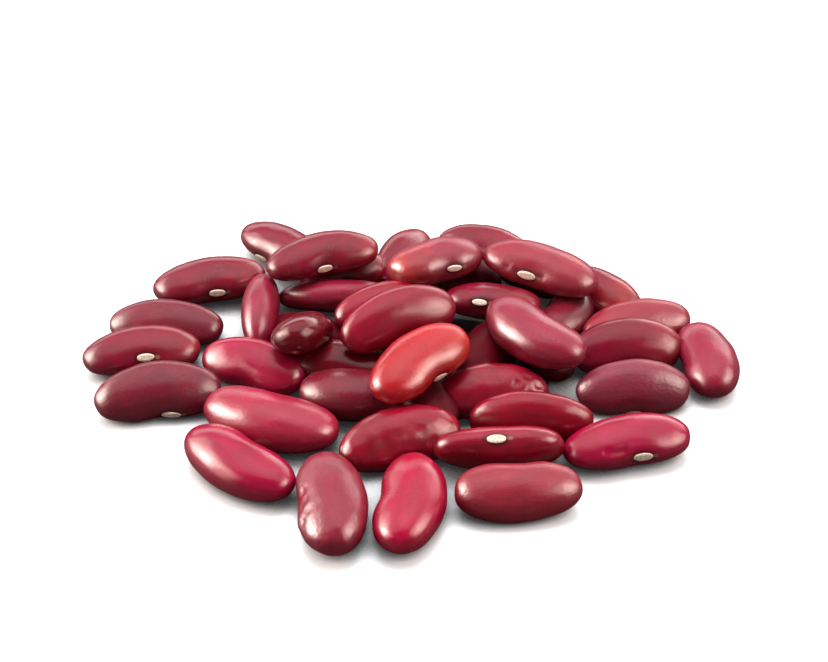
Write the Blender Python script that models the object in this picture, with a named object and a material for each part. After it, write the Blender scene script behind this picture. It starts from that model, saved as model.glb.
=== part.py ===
"""Heap of dried kidney beans on a bare table, one fused solid that rests on its flat underside.

Run it with blender --background --python part.py, or from the text editor. Metres, +Z up.
X runs along the long side of the heap, Y from front to back, and Z = 0 is the table.
"""

import math

import bmesh
import bpy
from mathutils import Matrix, Vector

MM = 0.001

# The size of one bean. Its thickness follows from its width, and its width from its own row below.
THICKNESS_OF_WIDTH = 0.71
SIDES = 12
RINGS = 10
BLUNT_ENDS = 0.78
TAPER = 0.04
FAT_BACK = 0.10
HILUM_DIP = 0.5 * MM
HILUM_REACH = 2.4 * MM
HOLLOW_SIDE_POWER = 1.5
BEND_CENTRE = 0.35
CORNERS_OUT = 1.0 / math.cos(math.pi / SIDES / 2)

# The mound under the beans: how far it keeps inside their middles, and how high it stands.
CORE_INSET = 1.5 * MM
CORE_EDGE_HEIGHT = 1.8 * MM
CORE_TOP_HEIGHT = 3.2 * MM
CORE_TOP_SHARE = 0.75
CORE_SUNK = 0.6 * MM

# Every bean on the table is sunk a little and trimmed there, so it rests on a small flat spot.
BEAN_SUNK = 0.2 * MM
TRIM_DEPTH = 5 * MM
TRIM_MARGIN = 20 * MM

# Beans that lie on the table: x, y, heading, roll, length, width, bend (mm and degrees).
# Heading turns the bean on the table, and roll turns its hollow side down.
FLOOR_BEANS = [
    # left end
    (-29.6, 23.3, 15, -5, 16.2, 8.4, 1.4),
    (-35.1, 13.8, -4, 15, 16.2, 7.4, 1.0),
    (-37.9, 6.7, 10, 5, 16.0, 8.0, 1.7),
    (-34.7, -2.6, 10, 28, 16.9, 8.4, 1.5),
    (-21.6, 15.8, 88, 80, 15.6, 7.2, 1.0),
    (-22.1, 3.7, -24, 20, 15.0, 7.8, 1.2),
    # front edge
    (-22.5, -17.0, 139, 0, 17.6, 8.8, 1.0),
    (-18.8, -8.3, 160, 5, 18.9, 9.8, 1.2),
    (-10.5, -25.1, -84, 0, 17.8, 9.4, 0.5),
    (-0.6, -24.9, 261, 0, 17.2, 9.0, 1.7),
    (13.7, -22.8, 184, -25, 16.6, 8.4, 0.5),
    (11.5, -15.0, 3, -60, 17.0, 8.0, 0.8),
    (28.5, -13.1, 14, 0, 17.1, 8.5, 1.2),
    # right end
    (30.2, -1.7, 3, 50, 15.4, 7.7, 1.2),
    (41.0, 5.2, -82, 5, 14.8, 8.0, 0.7),
    (30.1, 7.2, 6, 30, 15.2, 8.6, 1.4),
    (32.1, 13.5, 16, 15, 15.8, 7.4, 1.2),
    (26.5, 21.5, -38, 10, 15.0, 7.4, 1.2),
    # back edge
    (-19.4, 32.0, -42, -10, 15.0, 8.2, 1.0),
    (-1.2, 30.6, 68, 10, 13.6, 6.8, 1.0),
    (11.0, 32.5, -24, 20, 14.8, 7.3, 1.2),
    # middle, seen between the upper ones
    (-1.5, -12.5, 20, 30, 16.4, 8.4, 1.5),
    (16.0, -8.7, -2, 80, 16.6, 7.6, 0.8),
    (-7.9, -2.6, 175, 10, 14.6, 9.2, 0.8),
    (-10.5, 4.1, -10, 0, 15.0, 7.6, 1.0),
    (11.0, -2.5, 5, 25, 15.0, 8.2, 1.2),
    (10.0, 7.0, 240, 0, 15.0, 8.2, 1.0),
    (-11.3, 20.9, 3, 143, 16.0, 6.8, 1.0),
    (21.5, 15.5, 240, 0, 13.0, 7.4, 1.0),
    # out of sight from the front
    (-0.8, 7.8, 82, 0, 13.5, 8.4, 1.0),
    (2.2, -3.9, 112, 0, 12.5, 7.8, 1.0),
    (19.8, 7.6, 95, 10, 11.0, 7.2, 1.0),
    (-14.3, 12.2, 160, 0, 11.5, 6.8, 1.0),
    (-10.2, 26.7, 10, 0, 13.2, 7.6, 1.0),
    (5.8, 25.0, -16, 10, 14.5, 8.0, 1.0),
    (17.6, 26.2, -38, 10, 12.2, 7.0, 1.0),
]

# Beans that lie on others: x, y, height of the middle, heading, roll, tilt, length, width, bend.
RAISED_BEANS = [
    (-15.3, 6.2, 6.6, 250, 25, 28, 12.5, 8.0, 0.5),
    (-3.6, 14.2, 5.0, 20, 30, 0, 15.2, 7.2, 1.0),
    (11.5, 15.5, 5.0, -8, -25, 0, 13.5, 7.4, 1.2),
    (-13.0, 23.6, 7.3, 20, 2, 0, 16.2, 7.8, 1.9),
    (-1.9, 7.1, 8.2, 26, 40, 4, 16.9, 7.9, 1.6),
    (1.2, -2.8, 8.2, 46, 5, 3, 16.2, 8.8, 1.6),
    (17.2, 5.5, 7.3, 132, 0, 0, 15.9, 8.9, 2.5),
    (3.5, 21.2, 8.0, 25, -15, -3, 13.9, 8.7, 1.2),
    (18.5, 20.7, 7.3, -22, -5, -5, 17.0, 8.3, 1.4),
]


def clear_scene():
    for obj in list(bpy.data.objects):
        bpy.data.objects.remove(obj, do_unlink=True)


def new_collection(name):
    collection = bpy.data.collections.new(name)
    bpy.context.scene.collection.children.link(collection)
    return collection


def bean_skin():
    """The dark red, glossy seed coat."""
    skin = bpy.data.materials.new("bean_skin")
    skin.use_nodes = True
    shader = skin.node_tree.nodes["Principled BSDF"]
    shader.inputs["Base Color"].default_value = (0.30, 0.018, 0.030, 1.0)
    shader.inputs["Roughness"].default_value = 0.28
    shader.inputs["Metallic"].default_value = 0.0
    return skin


def bean_point(unit, length, width, bend):
    """Moves a point of the unit sphere, whose poles are the bean's ends, onto the bean."""
    along = unit.z
    ring = math.sqrt(max(1.0 - along * along, 0.0))
    if ring > 0.0:
        outward = unit.y / ring
        upward = unit.x / ring
    else:
        outward = 0.0
        upward = 0.0
    fullness = CORNERS_OUT * ring**BLUNT_ENDS * (1.0 + TAPER * along)
    x = length / 2 * along
    y = width / 2 * fullness * outward
    z = width * THICKNESS_OF_WIDTH / 2 * fullness * upward * (1.0 + FAT_BACK * outward)
    y -= bend * (along * along - BEND_CENTRE)
    hollow_side = max(-outward, 0.0) ** HOLLOW_SIDE_POWER * ring
    y += HILUM_DIP * hollow_side * math.exp(-((x / HILUM_REACH) ** 2))
    return Vector((x, y, z))


def turn(heading, roll, tilt):
    """Rotation of a bean: rolled about its length, tipped up at its far end, then turned on the table."""
    rolled = Matrix.Rotation(math.radians(roll), 3, "X")
    tipped = Matrix.Rotation(math.radians(-tilt), 3, "Y")
    turned = Matrix.Rotation(math.radians(heading), 3, "Z")
    return turned @ tipped @ rolled


def bean_object(name, heading, roll, tilt, length, width, bend):
    """One bean about its own middle, already turned the way it lies."""
    mesh = bpy.data.meshes.new(name)
    shape = bmesh.new()
    bmesh.ops.create_uvsphere(shape, u_segments=SIDES, v_segments=RINGS, radius=1.0)
    rotation = turn(heading, roll, tilt)
    for vert in shape.verts:
        vert.co = rotation @ bean_point(vert.co, length * MM, width * MM, bend * MM)
    bmesh.ops.recalc_face_normals(shape, faces=shape.faces)
    bmesh.ops.triangulate(shape, faces=shape.faces)
    shape.to_mesh(mesh)
    shape.free()
    return bpy.data.objects.new(name, mesh)


def lowest(obj):
    return min(vert.co.z for vert in obj.data.vertices)


def place_beans(collection):
    """Lays every bean out and returns the middles of those that lie on the table."""
    middles = []
    for number, row in enumerate(FLOOR_BEANS):
        x, y, heading, roll, length, width, bend = row
        bean = bean_object(f"floor_bean_{number}", heading, roll, 0, length, width, bend)
        bean.location = (x * MM, y * MM, -lowest(bean) - BEAN_SUNK)
        collection.objects.link(bean)
        middles.append(Vector((x * MM, y * MM, 0.0)))
    for number, row in enumerate(RAISED_BEANS):
        x, y, height, heading, roll, tilt, length, width, bend = row
        bean = bean_object(f"raised_bean_{number}", heading, roll, tilt, length, width, bend)
        bean.location = (x * MM, y * MM, height * MM)
        collection.objects.link(bean)
    return middles


def core_object(middles):
    """A low mound, the hull of rings drawn through the beans on the table."""
    heart = sum(middles, Vector()) / len(middles)
    shape = bmesh.new()
    for middle in middles:
        inward = (heart - middle).normalized() * CORE_INSET
        rim = middle + inward
        crown = heart + (rim - heart) * CORE_TOP_SHARE
        shape.verts.new((rim.x, rim.y, -CORE_SUNK))
        shape.verts.new((rim.x, rim.y, CORE_EDGE_HEIGHT))
        shape.verts.new((crown.x, crown.y, CORE_TOP_HEIGHT))
    hull = bmesh.ops.convex_hull(shape, input=shape.verts)
    unused = [item for item in hull["geom_interior"] if isinstance(item, bmesh.types.BMVert)]
    bmesh.ops.delete(shape, geom=unused, context="VERTS")
    bmesh.ops.recalc_face_normals(shape, faces=shape.faces)
    mesh = bpy.data.meshes.new("bean_heap")
    shape.to_mesh(mesh)
    shape.free()
    return bpy.data.objects.new("bean_heap", mesh)


def islands(shape):
    """Sets of vertices that hang together."""
    left = set(shape.verts)
    found = []
    while left:
        start = left.pop()
        island = {start}
        front = [start]
        while front:
            vert = front.pop()
            for edge in vert.link_edges:
                other = edge.other_vert(vert)
                if other in left:
                    left.remove(other)
                    island.add(other)
                    front.append(other)
        found.append(island)
    return found


def keep_outer_skin(mesh):
    """Fills sealed hollows and drops loose scraps: only the largest closed skin stays."""
    shape = bmesh.new()
    shape.from_mesh(mesh)
    parts = sorted(islands(shape), key=len, reverse=True)
    for scrap in parts[1:]:
        bmesh.ops.delete(shape, geom=list(scrap), context="VERTS")
    shape.to_mesh(mesh)
    shape.free()


def evaluated_mesh(obj):
    graph = bpy.context.evaluated_depsgraph_get()
    return bpy.data.meshes.new_from_object(obj.evaluated_get(graph))


def fuse(core, beans):
    """Joins all beans to the core with one Boolean union, which is applied."""
    union = core.modifiers.new("fuse beans", "BOOLEAN")
    union.operation = "UNION"
    union.operand_type = "COLLECTION"
    union.collection = beans
    union.solver = "EXACT"
    fused = evaluated_mesh(core)
    core.modifiers.remove(union)
    core.data = fused
    keep_outer_skin(core.data)
    for bean in list(beans.objects):
        bpy.data.objects.remove(bean, do_unlink=True)
    bpy.data.collections.remove(beans)


def table_cutter(heap, cutters):
    """A slab that takes off all that reaches below the table, which leaves small flat spots."""
    farthest = max(max(abs(vert.co.x), abs(vert.co.y)) for vert in heap.data.vertices)
    side = 2 * (farthest + TRIM_MARGIN)
    bpy.ops.mesh.primitive_cube_add(size=1.0, location=(0.0, 0.0, -TRIM_DEPTH / 2))
    slab = bpy.context.object
    slab.name = "table_cutter"
    slab.scale = (side, side, TRIM_DEPTH)
    for collection in list(slab.users_collection):
        collection.objects.unlink(slab)
    cutters.objects.link(slab)
    slab.hide_render = True
    slab.display_type = "WIRE"
    return slab


def main():
    clear_scene()
    heap_collection = new_collection("dried_kidney_beans")
    cutters = new_collection("cutters")
    beans = new_collection("loose_beans")
    middles = place_beans(beans)
    heap = core_object(middles)
    heap_collection.objects.link(heap)
    fuse(heap, beans)
    trim = heap.modifiers.new("trim at the table", "BOOLEAN")
    trim.operation = "DIFFERENCE"
    trim.object = table_cutter(heap, cutters)
    trim.solver = "EXACT"
    heap.data.materials.clear()
    heap.data.materials.append(bean_skin())


main()
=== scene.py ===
"""Looks of a heap of dried kidney beans: smooth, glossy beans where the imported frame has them."""

import math

import bpy
import numpy as np
from mathutils import Matrix, Vector


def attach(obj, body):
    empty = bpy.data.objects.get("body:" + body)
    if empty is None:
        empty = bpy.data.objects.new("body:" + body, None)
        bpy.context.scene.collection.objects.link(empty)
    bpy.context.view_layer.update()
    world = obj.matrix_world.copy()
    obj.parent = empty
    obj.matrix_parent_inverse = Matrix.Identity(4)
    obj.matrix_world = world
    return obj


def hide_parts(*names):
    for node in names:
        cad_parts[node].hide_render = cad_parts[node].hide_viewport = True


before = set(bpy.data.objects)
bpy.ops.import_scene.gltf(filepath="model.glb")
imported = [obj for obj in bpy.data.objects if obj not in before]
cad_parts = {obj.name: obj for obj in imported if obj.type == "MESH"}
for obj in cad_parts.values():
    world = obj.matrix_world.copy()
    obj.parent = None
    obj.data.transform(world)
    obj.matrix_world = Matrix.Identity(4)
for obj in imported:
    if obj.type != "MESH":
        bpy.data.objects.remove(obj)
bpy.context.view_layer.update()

MM = 0.001
NODE = "bean_heap"
BODY = "root"

# The camera stands in front of the heap and looks down on it.
IMAGE_WIDTH = 828
CAMERA_ELEVATION = math.radians(37)
CAMERA_DISTANCE = 300 * MM
CAMERA_AIM = Vector((0.3, 15.5, 0.0)) * MM
FOCAL_PIXELS = 2080
SENSOR_WIDTH = 36

# The colours of the lamps, and how much the white room lights the beans.
LAMP_WHITE = "FFF0E8"
LAMP_WARM = "FFD8BE"
ROOM_LIGHT = 0.06

# The bean that all others are copied from, in mm.
PATTERN_SIZE = (16.5, 8.2, 5.82)
THICKNESS_OF_WIDTH = 0.71
AROUND = 56
ALONG = 44
BLUNT_ENDS = 0.22
SMALLEST_RING = 0.05
END_TAPER = 0.08
BACK_FATTER = 0.20
BEND_CENTRE = 0.35
DIP_DEPTH = 0.5
DIP_REACH = 4.4
DIP_MIDDLE = 0.3
PRESSED_FLAT = 0.15
# A place is looked for on the hollow side, so the back of the bean counts as this much further off.
BACK_FURTHER = 9

# The scar in mm, on a bean as long as the pattern, and the slit in a scar that is 1 long.
SCAR_SIZE = (2.6, 1.15, 0.4)
SCAR_LIFT = 0.02
SLIT_DEPTH = 0.12
SLIT_REACH = 0.25
SLIT_ABOVE = 0.36
SLIT_HALF_WIDTH = 0.1

# The unevenness of the skin, in mm: how deep it is, and how large its clouds are. Each bean
# takes it from the clouds a step further on, and its mottling a smaller step further on.
LUMP_DEPTH = 0.55
LUMP_SIZE = 7
DIMPLE_DEPTH = 0.10
DIMPLE_SIZE = 2.6
WRINKLE_SIZE = 1.3
CLOUD_STEP = 31
MOTTLE_STEP = 1.7

# The filling between the beans, in mm.
CORE_CENTRE = (2.0, 7.0, 0.0)
CORE_HALF_SIZES = (18, 12, 2.0)
CORE_CUT = 0.05
CORE_LUMP_SIZE = 5
CORE_LUMP_DEPTH = 0.8

# The white sheet under the heap: how wide it is in m, how bright its painted glow is to the camera,
# which lightens its shadows, and how near the beans have to be for the painted shade that darkens
# it, in mm.
SHEET_WIDTH = 6.0
SHEET_GLOW = 0.42
SHADE_REACH = 20

# How each tone of seed coat looks: colour, colour of its mottling, how dull it is, and
# how deep its wrinkles are in mm.
TONES = {
    "maroon": ("7C0828", "680A1C", 0.23, 0.0),
    "crimson": ("9E0438", "8A0228", 0.22, 0.0),
    "ruby": ("90082A", "76081C", 0.23, 0.0),
    "cherry": ("AA0636", "940228", 0.23, 0.0),
    "scarlet": ("A6161E", "B00E20", 0.25, 0.0),
    "brick": ("921C30", "801228", 0.30, 0.0),
    "rosy": ("8E1636", "7C102A", 0.28, 0.0),
    "rose": ("A01C3C", "8E162E", 0.28, 0.04),
    "dusky": ("741228", "5C0E1E", 0.27, 0.0),
    "deep": ("8A0222", "70021A", 0.24, 0.0),
    "plum": ("821E38", "6C162A", 0.36, 0.0),
    # Painted shade: the dark tone is seed coat in the heap's shade, for the beans that lie deep in
    # it.
    "dark": ("580414", "420210", 0.40, 0.0),
    "polished": ("6A0818", "5A0614", 0.17, 0.0),
    "rust": ("8E2438", "801A2C", 0.28, 0.0),
    "russet": ("7C0828", "741A1C", 0.23, 0.0),
    "leathery": ("881430", "741024", 0.31, 0.14),
    "creased": ("8E0A28", "72081A", 0.22, 0.24),
}
# Tones that turn lighter towards one end of the bean: the colour there, and which end it is.
# It starts just before the middle of the bean and is full at the end.
TIP_START = 0.1
TIP_REACH = 0.6
TIP_TONES = {
    "maroon": ("92202A", 1),
    "russet": ("AE3A2C", 1),
    "rust": ("B63A30", -1),
    "scarlet": ("B43420", 1),
}

# Beans that lie on the table: tone, x, y, heading, roll, length, width, bend (mm and degrees).
FLOOR_BEANS = [
    # left end
    ("maroon", -29.6, 23.3, 15, -5, 16.2, 8.4, 1.4),
    ("dusky", -35.1, 13.8, -4, 15, 16.2, 7.4, 1.0),
    ("maroon", -37.9, 6.7, 10, 5, 16.0, 8.0, 1.7),
    ("dusky", -34.7, -2.6, 10, 28, 16.9, 8.4, 1.5),
    ("rosy", -21.6, 15.8, 88, 80, 15.6, 7.2, 1.0),
    ("crimson", -22.1, 3.7, -24, 20, 15.0, 7.8, 1.2),
    # front edge
    ("crimson", -22.5, -17.0, 139, 0, 17.6, 8.8, 1.0),
    ("rose", -18.8, -8.3, 160, 5, 18.9, 9.8, 1.2),
    ("leathery", -10.5, -25.1, -84, 0, 17.8, 9.4, 0.5),
    ("cherry", -0.6, -24.9, 261, 0, 17.2, 9.0, 1.7),
    ("brick", 13.7, -22.8, 184, -25, 16.6, 8.4, 0.5),
    ("ruby", 11.5, -15.0, 3, -60, 17.0, 8.0, 0.8),
    ("crimson", 28.5, -13.1, 14, 0, 17.1, 8.5, 1.2),
    # right end
    ("plum", 30.2, -1.7, 3, 50, 15.4, 7.7, 1.2),
    ("rosy", 41.0, 5.2, -82, 5, 14.8, 8.0, 0.7),
    ("maroon", 30.1, 7.2, 6, 30, 15.2, 8.6, 1.4),
    ("brick", 32.1, 13.5, 16, 15, 15.8, 7.4, 1.2),
    ("russet", 26.5, 21.5, -38, 10, 15.0, 7.4, 1.2),
    # back edge
    ("maroon", -19.4, 32.0, -42, -10, 15.0, 8.2, 1.0),
    ("maroon", -1.2, 30.6, 68, 10, 13.6, 6.8, 1.0),
    ("maroon", 11.0, 32.5, -24, 20, 14.8, 7.3, 1.2),
    # middle, seen between the upper ones
    ("creased", -1.5, -12.5, 20, 30, 16.4, 8.4, 1.5),
    ("deep", 16.0, -8.7, -2, 80, 16.6, 7.6, 0.8),
    ("dusky", -7.9, -2.6, 175, 10, 14.6, 9.2, 0.8),
    # Painted shade: this bean takes a dark tone because it lies in the shade of the beans above it.
    ("polished", -10.5, 4.1, -10, 0, 15.0, 7.6, 1.0),
    ("creased", 11.0, -2.5, 5, 25, 15.0, 8.2, 1.2),
    ("dark", 10.0, 7.0, 240, 0, 15.0, 8.2, 1.0),
    ("rosy", -11.3, 20.9, 3, 143, 16.0, 6.8, 1.0),
    ("dusky", 21.5, 15.5, 240, 0, 13.0, 7.4, 1.0),
    # nearly hidden from the front, behind and under the others
    ("dark", -0.8, 7.8, 82, 0, 13.5, 8.4, 1.0),
    ("dark", 2.2, -3.9, 112, 0, 12.5, 7.8, 1.0),
    ("dark", 19.8, 7.6, 95, 10, 11.0, 7.2, 1.0),
    ("dark", -14.3, 12.2, 160, 0, 11.5, 6.8, 1.0),
    ("maroon", -10.2, 26.7, 10, 0, 13.2, 7.6, 1.0),
    ("dark", 5.8, 25.0, -16, 10, 14.5, 8.0, 1.0),
    ("dark", 17.6, 26.2, -38, 10, 12.2, 7.0, 1.0),
]

# Beans that lie on others: tone, x, y, height of the middle, heading, roll, tilt, length,
# width, bend.
RAISED_BEANS = [
    ("polished", -15.3, 6.2, 6.6, 250, 25, 28, 12.5, 8.0, 0.5),
    ("ruby", -3.6, 14.2, 5.0, 20, 30, 0, 15.2, 7.2, 1.0),
    ("maroon", 11.5, 15.5, 5.0, -8, -25, 0, 13.5, 7.4, 1.2),
    ("maroon", -13.0, 23.6, 7.3, 20, 2, 0, 16.2, 7.8, 1.9),
    ("ruby", -1.9, 7.1, 8.2, 26, 40, 4, 16.9, 7.9, 1.6),
    ("scarlet", 1.2, -2.8, 8.2, 46, 5, 3, 16.2, 8.8, 1.6),
    ("rosy", 17.2, 5.5, 7.3, 132, 0, 0, 15.9, 8.9, 2.5),
    ("rust", 3.5, 21.2, 8.0, 25, -15, -3, 13.9, 8.7, 1.2),
    ("brick", 18.5, 20.7, 7.3, -22, -5, -5, 17.0, 8.3, 1.4),
]

# Scars that sit off the middle of their hollow side: by x and y of the bean, how far along
# the bean and how far up from the middle, in mm. At -2.2 a scar is out of sight below.
SCAR_PLACES = {
    (-29.6, 23.3): (0.8, 0.0),
    (-37.9, 6.7): (0.4, 1.5),
    (-34.7, -2.6): (1.5, 0.3),
    (-22.1, 3.7): (0.0, -2.2),
    (-10.5, -25.1): (0.0, -2.2),
    (-0.6, -24.9): (0.0, -2.2),
    (13.7, -22.8): (0.0, -2.2),
    (11.5, -15.0): (-0.7, 0.0),
    (28.5, -13.1): (1.1, 0.4),
    (41.0, 5.2): (0.0, -2.2),
    (2.2, -3.9): (0.0, -2.2),
    (-0.8, 7.8): (0.0, -2.2),
    (10.0, 7.0): (0.0, -2.2),
    (-7.9, -2.6): (0.0, -2.2),
    (-19.4, 32.0): (-1.9, -1.2),
    (5.8, 25.0): (0.0, -2.2),
    (17.6, 26.2): (0.0, -2.2),
    (11.5, 15.5): (-2.6, 0.6),
    (-13.0, 23.6): (-0.7, 0.0),
    (1.2, -2.8): (0.5, -0.7),
    (3.5, 21.2): (1.5, 0.0),
    (18.5, 20.7): (-1.2, 0.3),
}

# Small dents in the skin of some beans: by x and y of the bean, where each is on the bean
# while that is straight (along, across and up from its middle, in mm).
DENTS = {
    (-1.5, -12.5): ((4.0, -2.0, 2.2), (4.9, -2.6, 1.6)),
    (11.0, -2.5): (
        (3.4, -0.2, 2.8), (4.6, 1.0, 2.5), (5.0, -1.2, 2.1), (6.0, 0.3, 1.9), (6.6, -1.4, 1.2),
    ),
    (-10.5, -25.1): (
        (1.4, -3.6, 2.0), (2.6, -3.9, 1.3), (3.6, -3.2, 2.0), (4.6, -3.4, 1.0), (-0.8, -3.8, 1.6),
    ),
    (28.5, -13.1): ((-4.2, -3.0, 1.6), (-3.0, -3.4, 1.5), (-1.8, -3.4, 1.7)),
    (18.5, 20.7): ((-3.2, -3.8, 0.6), (-4.6, -3.4, 0.8), (1.4, -4.0, 0.9)),
}
DENT_DEPTH = 0.28
DENT_REACH = 0.9


def linear(hex_colour):
    """An sRGB hex colour as linear red, green, blue and alpha."""
    channels = [int(hex_colour[i:i + 2], 16) / 255 for i in (0, 2, 4)]
    curved = [c / 12.92 if c <= 0.04045 else ((c + 0.055) / 1.055) ** 2.4 for c in channels]
    return (*curved, 1.0)


def add_node(tree, kind, values=None, links=None, **settings):
    """Adds a shader node with its settings, its input values and the links into it."""
    node = tree.nodes.new(kind)
    for name, value in settings.items():
        setattr(node, name, value)
    for socket, value in (values or {}).items():
        node.inputs[socket].default_value = value
    for socket, source in (links or {}).items():
        tree.links.new(source, node.inputs[socket])
    return node


def rescale(tree, value, low, high, new_low, new_high, **settings):
    """Takes a value from one range to another, held at both ends."""
    values = {"From Min": low, "From Max": high, "To Min": new_low, "To Max": new_high}
    node = add_node(tree, "ShaderNodeMapRange", values, {"Value": value}, **settings)
    return node.outputs[0]


def new_material(name):
    material = bpy.data.materials.new(name)
    material.use_nodes = True
    return material, material.node_tree, material.node_tree.nodes["Principled BSDF"]


def seed_coat_material():
    """Dried seed coat: a thin waxy skin, half glossy, mottled and faintly streaked lengthwise."""
    material, tree, shader = new_material("dried_seed_coat")
    place = add_node(tree, "ShaderNodeAttribute", attribute_name="seed_place").outputs["Vector"]
    number = add_node(tree, "ShaderNodeAttribute", attribute_name="seed_number").outputs["Fac"]
    tone = add_node(tree, "ShaderNodeAttribute", attribute_name="seed_tone").outputs["Color"]
    mottle = add_node(tree, "ShaderNodeAttribute", attribute_name="seed_mottle").outputs["Color"]
    dullness = add_node(tree, "ShaderNodeAttribute", attribute_name="seed_dullness").outputs["Fac"]
    # Patches about 4 mm across, and streaks about 1 mm apart that are long along the bean.
    clouds = add_node(
        tree, "ShaderNodeTexNoise", {"Scale": 0.28, "Detail": 3.0},
        {"Vector": place, "W": number}, noise_dimensions="4D",
    )
    streaked = add_node(
        tree, "ShaderNodeVectorMath", {1: (0.25, 1.0, 1.0)}, {0: place}, operation="MULTIPLY"
    )
    streaks = add_node(
        tree, "ShaderNodeTexNoise", {"Scale": 1.0, "Detail": 3.0, "Roughness": 0.6},
        {"Vector": streaked.outputs[0], "W": number}, noise_dimensions="4D",
    )
    specks = add_node(
        tree, "ShaderNodeTexNoise", {"Scale": 2.2, "Detail": 1.0},
        {"Vector": place, "W": number}, noise_dimensions="4D",
    )
    patched = rescale(
        tree, clouds.outputs["Fac"], 0.36, 0.66, 0.0, 0.7, interpolation_type="SMOOTHSTEP"
    )
    mixed = add_node(
        tree, "ShaderNodeMix", None, {"Factor": patched, "A": tone, "B": mottle}, data_type="RGBA"
    )
    streak_light = rescale(tree, streaks.outputs["Fac"], 0.3, 0.7, 0.90, 1.09)
    speck_light = rescale(tree, specks.outputs["Fac"], 0.3, 0.7, 0.93, 1.06)
    light = add_node(
        tree, "ShaderNodeMath", None, {0: streak_light, 1: speck_light}, operation="MULTIPLY"
    )
    shaded = add_node(
        tree, "ShaderNodeVectorMath", None, {0: mixed.outputs["Result"], "Scale": light.outputs[0]},
        operation="SCALE",
    )
    # A darker ring, about 1 mm wide, round the pale scar.
    from_scar = add_node(tree, "ShaderNodeAttribute", attribute_name="from_scar").outputs["Vector"]
    ring_place = add_node(
        tree, "ShaderNodeVectorMath", {1: (0.50, 1.0, 1.05)}, {0: from_scar}, operation="MULTIPLY"
    )
    ring_far = add_node(
        tree, "ShaderNodeVectorMath", None, {0: ring_place.outputs[0]}, operation="LENGTH"
    )
    ring = rescale(
        tree, ring_far.outputs["Value"], 0.60, 1.30, 0.85, 0.0, interpolation_type="SMOOTHSTEP"
    )
    coloured = add_node(
        tree, "ShaderNodeMix", {"B": linear("2E0A10")}, {"Factor": ring, "A": shaded.outputs[0]},
        data_type="RGBA",
    )
    # The seed's lens, a tan spot of 0.8 mm just past one end of the scar.
    lens_place = add_node(
        tree, "ShaderNodeVectorMath", {1: (1.95, 0.0, 0.0)}, {0: from_scar}, operation="SUBTRACT"
    )
    lens_flat = add_node(
        tree, "ShaderNodeVectorMath", {1: (1.0, 1.0, 1.6)}, {0: lens_place.outputs[0]},
        operation="MULTIPLY",
    )
    lens_far = add_node(
        tree, "ShaderNodeVectorMath", None, {0: lens_flat.outputs[0]}, operation="LENGTH"
    )
    lens = rescale(
        tree, lens_far.outputs["Value"], 0.25, 0.60, 0.8, 0.0, interpolation_type="SMOOTHSTEP"
    )
    spotted = add_node(
        tree, "ShaderNodeMix", {"B": linear("9A6650")},
        {"Factor": lens, "A": coloured.outputs["Result"]}, data_type="RGBA",
    )
    tree.links.new(spotted.outputs["Result"], shader.inputs["Base Color"])
    # The wax is a little duller in some places than in others.
    patchy = rescale(tree, clouds.outputs["Fac"], 0.3, 0.7, -0.03, 0.05)
    gloss = add_node(tree, "ShaderNodeMath", None, {0: dullness, 1: patchy}, operation="ADD")
    tree.links.new(gloss.outputs[0], shader.inputs["Roughness"])
    # Painted shade: the dullest tone, for beans deep in the heap's shade, gets hardly any gloss, so
    # that the lamps hardly shine in their skin.
    shine = rescale(tree, dullness, 0.36, 0.40, 0.5, 0.08)
    tree.links.new(shine, shader.inputs["Specular IOR Level"])
    # Faint relief: the streaks, and pores about 0.4 mm apart.
    relief = add_node(
        tree, "ShaderNodeMath", {1: 0.5}, {0: specks.outputs["Fac"], 2: streaks.outputs["Fac"]},
        operation="MULTIPLY_ADD",
    )
    rough = rescale(tree, dullness, 0.2, 0.36, 0.2, 0.8)
    bump = add_node(
        tree, "ShaderNodeBump", {"Distance": 0.10 * MM},
        {"Height": relief.outputs[0], "Strength": rough},
    )
    tree.links.new(bump.outputs[0], shader.inputs["Normal"])
    shader.inputs["IOR"].default_value = 1.50
    return material


def hilum_material():
    """The seed's scar: dry, corky and cream coloured, quite matte beside the skin."""
    material, tree, shader = new_material("corky_scar")
    place = add_node(tree, "ShaderNodeTexCoord").outputs["Object"]
    # Corky grain about 0.25 mm across.
    grain = add_node(
        tree, "ShaderNodeTexNoise", {"Scale": 1 / (0.25 * MM), "Detail": 3.0}, {"Vector": place}
    )
    colours = add_node(tree, "ShaderNodeValToRGB", None, {"Fac": grain.outputs["Fac"]})
    colours.color_ramp.elements[0].position = 0.3
    colours.color_ramp.elements[0].color = linear("CDB49B")
    colours.color_ramp.elements[1].position = 0.6
    colours.color_ramp.elements[1].color = linear("F2E4D3")
    tree.links.new(colours.outputs["Color"], shader.inputs["Base Color"])
    bump = add_node(
        tree, "ShaderNodeBump", {"Strength": 0.4, "Distance": 0.05 * MM},
        {"Height": grain.outputs["Fac"]},
    )
    tree.links.new(bump.outputs[0], shader.inputs["Normal"])
    shader.inputs["Roughness"].default_value = 0.65
    return material


def core_material():
    """What fills the dark between the beans: seed coat with deep shade painted into its colour."""
    material, tree, shader = new_material("shaded_seed_coat")
    place = add_node(tree, "ShaderNodeTexCoord").outputs["Object"]
    patches = add_node(
        tree, "ShaderNodeTexNoise", {"Scale": 1 / (6 * MM), "Detail": 2.0}, {"Vector": place}
    )
    # Painted shade: near-black reds of seed coat lying in deep shade.
    colours = add_node(tree, "ShaderNodeValToRGB", None, {"Fac": patches.outputs["Fac"]})
    colours.color_ramp.elements[0].color = linear("1C0408")
    colours.color_ramp.elements[1].color = linear("380810")
    tree.links.new(colours.outputs["Color"], shader.inputs["Base Color"])
    shader.inputs["Roughness"].default_value = 0.5
    return material


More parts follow.
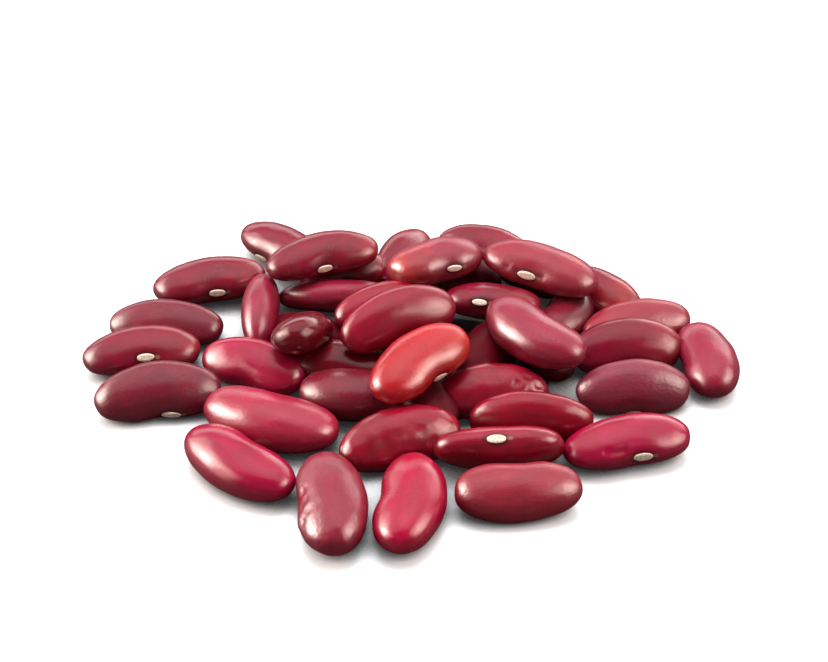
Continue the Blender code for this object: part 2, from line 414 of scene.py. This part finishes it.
def floor_material():
    """Matte white sheet: overexposed to the camera by a painted glow that lightens its shadows,
    darkened with painted shade where beans stand close, and dim as a light on the beans.
    """
    material, tree, shader = new_material("matte_white_sheet")
    place = add_node(tree, "ShaderNodeTexCoord").outputs["Object"]
    mottle = add_node(
        tree, "ShaderNodeTexNoise", {"Scale": 1 / (40 * MM), "Detail": 2.0}, {"Vector": place}
    )
    colours = add_node(tree, "ShaderNodeValToRGB", None, {"Fac": mottle.outputs["Fac"]})
    colours.color_ramp.elements[0].color = linear("DCE0E4")
    colours.color_ramp.elements[1].color = linear("E2E6EA")
    seen = add_node(tree, "ShaderNodeLightPath").outputs["Is Camera Ray"]
    # Painted shade: the sheet's colour and glow are darkened where beans stand close all around it.
    open_sky = add_node(
        tree, "ShaderNodeAmbientOcclusion", {"Distance": SHADE_REACH * MM}, samples=8
    )
    open_share = rescale(
        tree, open_sky.outputs["AO"], 0.16, 0.50, 0.04, 1.0, interpolation_type="SMOOTHSTEP"
    )
    painted_shade_colours = add_node(
        tree, "ShaderNodeVectorMath", None, {0: colours.outputs["Color"], "Scale": open_share},
        operation="SCALE",
    )
    to_eye = add_node(
        tree, "ShaderNodeMix", {"A": linear("3C3636")}, {"Factor": seen, "B": painted_shade_colours.outputs[0]},
        data_type="RGBA",
    )
    tree.links.new(to_eye.outputs["Result"], shader.inputs["Base Color"])
    # Painted light: the sheet glows to the camera, which lightens the shadows on it.
    shaded = add_node(
        tree, "ShaderNodeMath", {1: SHEET_GLOW}, {0: open_share}, operation="MULTIPLY"
    )
    glow = add_node(
        tree, "ShaderNodeMath", None, {0: seen, 1: shaded.outputs[0]}, operation="MULTIPLY"
    )
    tree.links.new(glow.outputs[0], shader.inputs["Emission Strength"])
    shader.inputs["Emission Color"].default_value = (1, 1, 1, 1)
    shader.inputs["Roughness"].default_value = 0.9
    return material


def deselect_all():
    if bpy.context.mode != "OBJECT":
        bpy.ops.object.mode_set(mode="OBJECT")
    bpy.ops.object.select_all(action="DESELECT")


def pick(obj):
    """Makes one object the only one selected, and the active one."""
    deselect_all()
    obj.select_set(True)
    bpy.context.view_layer.objects.active = obj


def apply_modifier(obj, name, kind, **settings):
    pick(obj)
    modifier = obj.modifiers.new(name, kind)
    for key, value in settings.items():
        setattr(modifier, key, value)
    bpy.ops.object.modifier_apply(modifier=modifier.name)


def apply_place(obj):
    pick(obj)
    bpy.ops.object.transform_apply(location=True, rotation=True, scale=True)


def vertex_places(obj):
    places = np.empty(len(obj.data.vertices) * 3)
    obj.data.vertices.foreach_get("co", places)
    return places.reshape(-1, 3)


def select_vertices(obj, wanted):
    """Goes into edit mode with the wanted vertices selected: one true or false for each."""
    pick(obj)
    bpy.ops.object.mode_set(mode="EDIT")
    bpy.ops.mesh.select_mode(type="VERT")
    bpy.ops.mesh.select_all(action="DESELECT")
    bpy.ops.object.mode_set(mode="OBJECT")
    obj.data.vertices.foreach_set("select", wanted)
    bpy.ops.object.mode_set(mode="EDIT")


def model_bean():
    """One straight bean with its ends on X, its flat sides on Z and its hollow side at -Y."""
    deselect_all()
    bpy.ops.mesh.primitive_uv_sphere_add(
        segments=AROUND, ring_count=ALONG, radius=0.5, rotation=(0, math.pi / 2, 0)
    )
    bean = bpy.context.object
    bean.name = "bean_pattern"
    apply_place(bean)
    # Blunt ends: each ring is widened, the more the nearer it is to an end.
    along = vertex_places(bean)[:, 0].round(4)
    for station in np.unique(along):
        ring_radius = math.sqrt(max(1 - 4 * station ** 2, 0))
        if ring_radius > SMALLEST_RING:
            select_vertices(bean, along == station)
            wider = ring_radius ** -BLUNT_ENDS
            bpy.ops.transform.resize(value=(1, wider, wider), center_override=(0, 0, 0))
            bpy.ops.object.mode_set(mode="OBJECT")
    # One end is a little slimmer, and the back is fatter than the hollow side.
    apply_modifier(
        bean, "taper", "SIMPLE_DEFORM", deform_method="TAPER", deform_axis="X", factor=END_TAPER
    )
    apply_modifier(
        bean, "fat_back", "SIMPLE_DEFORM", deform_method="TAPER", deform_axis="Y",
        factor=BACK_FATTER, lock_x=True,
    )
    bean.scale = Vector(PATTERN_SIZE) * MM
    apply_place(bean)
    # The dip that holds the scar, pressed in at the middle of the hollow side.
    places = vertex_places(bean)
    off_middle = np.hypot(places[:, 0], places[:, 2]) + BACK_FURTHER * (places[:, 1] > 0)
    select_vertices(bean, off_middle < DIP_MIDDLE * MM)
    bpy.ops.transform.translate(
        value=(0, DIP_DEPTH * MM, 0), use_proportional_edit=True,
        proportional_edit_falloff="SMOOTH", proportional_size=DIP_REACH * MM,
    )
    bpy.ops.object.mode_set(mode="OBJECT")
    bpy.ops.object.shade_smooth()
    return bean


def turned(heading, roll, tilt):
    """A bean's rotation: rolled about its length, tipped up at its far end, then turned."""
    rolled = Matrix.Rotation(math.radians(roll), 4, "X")
    tipped = Matrix.Rotation(math.radians(-tilt), 4, "Y")
    return Matrix.Rotation(math.radians(heading), 4, "Z") @ tipped @ rolled


def copy_of(pattern, name):
    obj = bpy.data.objects.new(name, pattern.data.copy())
    bpy.context.scene.collection.objects.link(obj)
    return obj


def noise_texture(name, size):
    texture = bpy.data.textures.new(name, "CLOUDS")
    texture.noise_basis = "IMPROVED_PERLIN"
    texture.noise_scale = size
    texture.noise_depth = 1
    return texture


def tone_along(tone, along):
    """Seed coat colours of all vertices: some tones turn lighter towards one end."""
    colours = np.tile(np.array(linear(TONES[tone][0])), (len(along), 1))
    if tone in TIP_TONES:
        tip, end = TIP_TONES[tone]
        share = np.clip((end * along + TIP_START) / TIP_REACH, 0, 1)[:, None] ** 2
        colours = colours * (1 - share) + np.array(linear(tip)) * share
    return colours


def mark(obj, name, kind, values):
    """Stores one value, vector or colour for each vertex."""
    attribute = obj.data.attributes.new(name, kind, "POINT")
    field = {"FLOAT": "value", "FLOAT_VECTOR": "vector", "FLOAT_COLOR": "color"}[kind]
    attribute.data.foreach_set(field, np.ascontiguousarray(values, np.float32).ravel())


def shape_bean(pattern, number, row, scar, textures):
    """One bean: the pattern at the bean's size, bent, made uneven, turned and laid down."""
    tone, x, y, height, heading, roll, tilt, length, width, bend = row
    mottle, dullness, wrinkle_depth = TONES[tone][1:]
    bean = copy_of(pattern, f"bean_{number}")
    sizes = np.array([length, width, width * THICKNESS_OF_WIDTH])
    bent_by = 8 * bend / length
    sizes[0] *= bent_by / 2 / math.sin(bent_by / 2)
    bean.scale = sizes / PATTERN_SIZE
    apply_place(bean)
    places = vertex_places(bean) / MM
    count = len(places)
    mark(bean, "seed_place", "FLOAT_VECTOR", places)
    mark(bean, "from_scar", "FLOAT_VECTOR", places - places[scar])
    mark(bean, "seed_number", "FLOAT", np.full(count, number * MOTTLE_STEP))
    mark(bean, "seed_tone", "FLOAT_COLOR", tone_along(tone, places[:, 0] / length))
    mark(bean, "seed_mottle", "FLOAT_COLOR", np.tile(linear(mottle), (count, 1)))
    mark(bean, "seed_dullness", "FLOAT", np.full(count, dullness))
    press_dents(bean, DENTS.get((x, y), ()))
    apply_modifier(
        bean, "bend", "SIMPLE_DEFORM", deform_method="BEND", deform_axis="Z", angle=-bent_by
    )
    bean.location = (0, BEND_CENTRE * bend * MM, 0)
    apply_place(bean)
    # Lumps and wrinkles differ from bean to bean, because each takes them at another place.
    # The clouds stay where they are in the world, and the bean is moved through them.
    bean.location = (number * CLOUD_STEP * MM, 0, 0)
    bpy.context.view_layer.update()
    depths = {"lumps": LUMP_DEPTH, "dimples": DIMPLE_DEPTH, "wrinkles": wrinkle_depth}
    for name, depth in depths.items():
        if depth > 0:
            apply_modifier(
                bean, name, "DISPLACE", texture=textures[name], texture_coords="GLOBAL",
                strength=depth * MM, mid_level=0.5,
            )
    bean.location = (0, 0, 0)
    bean.matrix_world = turned(heading, roll, tilt)
    apply_place(bean)
    if height is None:
        height = -vertex_places(bean)[:, 2].min() / MM - PRESSED_FLAT
    bean.location = Vector((x, y, height)) * MM
    apply_place(bean)
    press_flat(bean)
    return bean


def press_dents(bean, dents):
    """Presses small dents into the skin: the vertex nearest to each place drags those around."""
    for dent in dents:
        far = np.linalg.norm(vertex_places(bean) / MM - dent, axis=1)
        select_vertices(bean, far == far.min())
        bpy.ops.transform.shrink_fatten(
            value=-DENT_DEPTH * MM, use_proportional_edit=True,
            proportional_edit_falloff="SMOOTH", proportional_size=DENT_REACH * MM,
        )
        bpy.ops.object.mode_set(mode="OBJECT")


def press_flat(obj):
    """Presses what would reach into the table flat against it."""
    low = vertex_places(obj)[:, 2] < 0
    if low.any():
        select_vertices(obj, low)
        bpy.ops.transform.resize(value=(1, 1, 0), center_override=(0, 0, 0))
        bpy.ops.object.mode_set(mode="OBJECT")


def model_hilum():
    """One scar: a low oval cushion, 1 long, with a slit sunk along its middle."""
    deselect_all()
    bpy.ops.mesh.primitive_uv_sphere_add(segments=24, ring_count=12, radius=0.5)
    scar = bpy.context.object
    scar.name = "hilum_pattern"
    places = vertex_places(scar)
    in_slit = (places[:, 2] > SLIT_ABOVE) & (np.abs(places[:, 1]) < SLIT_HALF_WIDTH)
    select_vertices(scar, in_slit)
    bpy.ops.transform.translate(
        value=(0, 0, -SLIT_DEPTH), use_proportional_edit=True, proportional_edit_falloff="SHARP",
        proportional_size=SLIT_REACH,
    )
    bpy.ops.object.mode_set(mode="OBJECT")
    bpy.ops.object.shade_smooth()
    return scar


def scar_vertex(pattern, row):
    """The vertex of the hollow side that the bean's scar sits on."""
    along, up = SCAR_PLACES.get(row[1:3], (0.0, 0.0))
    places = vertex_places(pattern) / MM
    far = np.hypot(places[:, 0] - along, places[:, 2] - up) + BACK_FURTHER * (places[:, 1] > 0)
    return int(np.argmin(far))


def place_hilum(scar_pattern, number, bean, row, vertex_number):
    """Copies the scar onto the bean's hollow side, in line with its length."""
    heading, roll, tilt, length = row[4:8]
    vertex = bean.data.vertices[vertex_number]
    scar = copy_of(scar_pattern, f"scar_{number}")
    share = length / PATTERN_SIZE[0]
    out = vertex.normal.normalized()
    along = (turned(heading, roll, tilt) @ Vector((1, 0, 0))).normalized()
    across = out.cross(along).normalized()
    along = across.cross(out)
    basis = Matrix((along, across, out)).transposed().to_4x4()
    sizes = Vector((SCAR_SIZE[0] * share, SCAR_SIZE[1] * share, SCAR_SIZE[2])) * MM
    place = vertex.co + out * SCAR_LIFT * MM
    scar.matrix_world = Matrix.Translation(place) @ basis @ Matrix.Diagonal(sizes).to_4x4()
    apply_place(scar)
    press_flat(scar)
    return scar


def join(pieces, name, material):
    """Joins copies into one finished piece that rides on the heap and stands for its node."""
    deselect_all()
    for piece in pieces:
        piece.select_set(True)
    bpy.context.view_layer.objects.active = pieces[0]
    if len(pieces) > 1:
        bpy.ops.object.join()
    piece = bpy.context.view_layer.objects.active
    piece.name = name
    piece.data.name = name
    piece.data.materials.clear()
    piece.data.materials.append(material)
    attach(piece, BODY)
    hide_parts(NODE)


def model_core():
    """A low dark mound under the beans, inside the heap's outline."""
    deselect_all()
    bpy.ops.mesh.primitive_uv_sphere_add(
        segments=64, ring_count=24, radius=1.0, location=[value * MM for value in CORE_CENTRE],
        scale=[value * MM for value in CORE_HALF_SIZES],
    )
    core = bpy.context.object
    apply_place(core)
    bpy.ops.object.mode_set(mode="EDIT")
    bpy.ops.mesh.select_all(action="SELECT")
    bpy.ops.mesh.bisect(
        plane_co=(0, 0, CORE_CUT * MM), plane_no=(0, 0, 1), clear_inner=True, use_fill=True
    )
    bpy.ops.object.mode_set(mode="OBJECT")
    apply_modifier(
        core, "lumps", "DISPLACE", texture=noise_texture("core_lumps", CORE_LUMP_SIZE * MM),
        texture_coords="LOCAL", direction="Z", strength=CORE_LUMP_DEPTH * MM, mid_level=1.0,
    )
    press_flat(core)
    bpy.ops.object.shade_smooth()
    return core


def make_beans():
    """All beans of the heap, in one piece for each tone of skin."""
    pattern = model_bean()
    scar_pattern = model_hilum()
    textures = {
        "lumps": noise_texture("lumps", LUMP_SIZE * MM),
        "dimples": noise_texture("dimples", DIMPLE_SIZE * MM),
        "wrinkles": noise_texture("wrinkles", WRINKLE_SIZE * MM),
    }
    rows = [(row[0], row[1], row[2], None, row[3], row[4], 0, *row[5:]) for row in FLOOR_BEANS]
    rows += RAISED_BEANS
    by_tone = {}
    scars = []
    for number, row in enumerate(rows):
        scar = scar_vertex(pattern, row)
        bean = shape_bean(pattern, number, row, scar, textures)
        by_tone.setdefault(row[0], []).append(bean)
        scars.append(place_hilum(scar_pattern, number, bean, row, scar))
    skin = seed_coat_material()
    for tone, beans in by_tone.items():
        join(beans, f"{tone}_beans", skin)
    join(scars, "hila", hilum_material())
    for pattern_object in (pattern, scar_pattern):
        bpy.data.objects.remove(pattern_object, do_unlink=True)


def make_floor():
    deselect_all()
    bpy.ops.mesh.primitive_plane_add(size=SHEET_WIDTH)
    floor = bpy.context.object
    floor.name = "floor"
    floor.data.materials.append(floor_material())


def softbox(
    name, place, size, radiance, colour="FFFFFF", aim=(0.0, 0.0, 0.0), colours=True, shines=True
):
    """A flat lamp that faces its aim, in m. It lights colours, shines in the gloss, or both."""
    light = bpy.data.lights.new(name, "AREA")
    light.shape = "RECTANGLE"
    light.size = size[0]
    light.size_y = size[1]
    light.energy = radiance * math.pi * size[0] * size[1]
    light.color = linear(colour)[:3]
    lamp = bpy.data.objects.new(name, light)
    bpy.context.scene.collection.objects.link(lamp)
    lamp.visible_camera = False
    lamp.visible_diffuse = colours
    lamp.visible_glossy = shines
    lamp.location = place
    lamp.rotation_euler = (Vector(aim) - Vector(place)).to_track_quat("-Z", "Y").to_euler()


def make_lights():
    left = (-0.57, 0.05, 0.26)
    right = (0.50, -0.08, 0.34)
    softbox("top_softbox", (0.0, 0.22, 0.45), (1.10, 0.64), 1.1, aim=(0.0, 0.14, 0.0))
    softbox("back_softbox", (0.0, 0.9, 0.28), (1.6, 0.26), 2.8)
    softbox("overhead_fill", (0.0, 0.18, 0.60), (0.40, 0.40), 9.0, shines=False)
    softbox("front_fill", (0.0, -0.60, 0.30), (0.50, 0.40), 0.7, shines=False)
    softbox("left_softbox", left, (0.46, 0.42), 3.8, LAMP_WARM)
    softbox("left_glow", (-0.57, 0.05, 0.28), (0.90, 0.56), 4.2, LAMP_WHITE, colours=False)
    softbox("left_spot", left, (0.30, 0.30), 84.0, LAMP_WHITE, colours=False)
    softbox("right_softbox", right, (0.38, 0.36), 2.8, LAMP_WARM)
    softbox("right_glow", right, (0.56, 0.46), 4.0, LAMP_WHITE, colours=False)
    softbox("right_spot", right, (0.22, 0.22), 54.0, LAMP_WHITE, colours=False)
    softbox("right_back_glow", (0.42, 0.62, 0.30), (0.60, 0.34), 2.6, LAMP_WHITE, colours=False)
    # The room is white to the camera and nearly dark as a light.
    world = bpy.data.worlds.new("studio")
    bpy.context.scene.world = world
    world.use_nodes = True
    tree = world.node_tree
    background = tree.nodes["Background"]
    seen = add_node(tree, "ShaderNodeLightPath").outputs["Is Camera Ray"]
    strength = rescale(tree, seen, 0.0, 1.0, ROOM_LIGHT, 1.0)
    tree.links.new(strength, background.inputs["Strength"])
    background.inputs["Color"].default_value = (1, 1, 1, 1)
    bpy.context.scene.view_settings.view_transform = "Standard"


def make_camera():
    data = bpy.data.cameras.new("camera")
    data.sensor_width = SENSOR_WIDTH
    data.lens = SENSOR_WIDTH * FOCAL_PIXELS / IMAGE_WIDTH
    data.clip_start = 0.01
    camera = bpy.data.objects.new("camera", data)
    bpy.context.scene.collection.objects.link(camera)
    forward = Vector((0, math.cos(CAMERA_ELEVATION), -math.sin(CAMERA_ELEVATION)))
    camera.location = CAMERA_AIM - forward * CAMERA_DISTANCE
    camera.rotation_euler = forward.to_track_quat("-Z", "Y").to_euler()
    bpy.context.scene.camera = camera


make_camera()
make_beans()
join([model_core()], "heap_core", core_material())
make_floor()
make_lights()
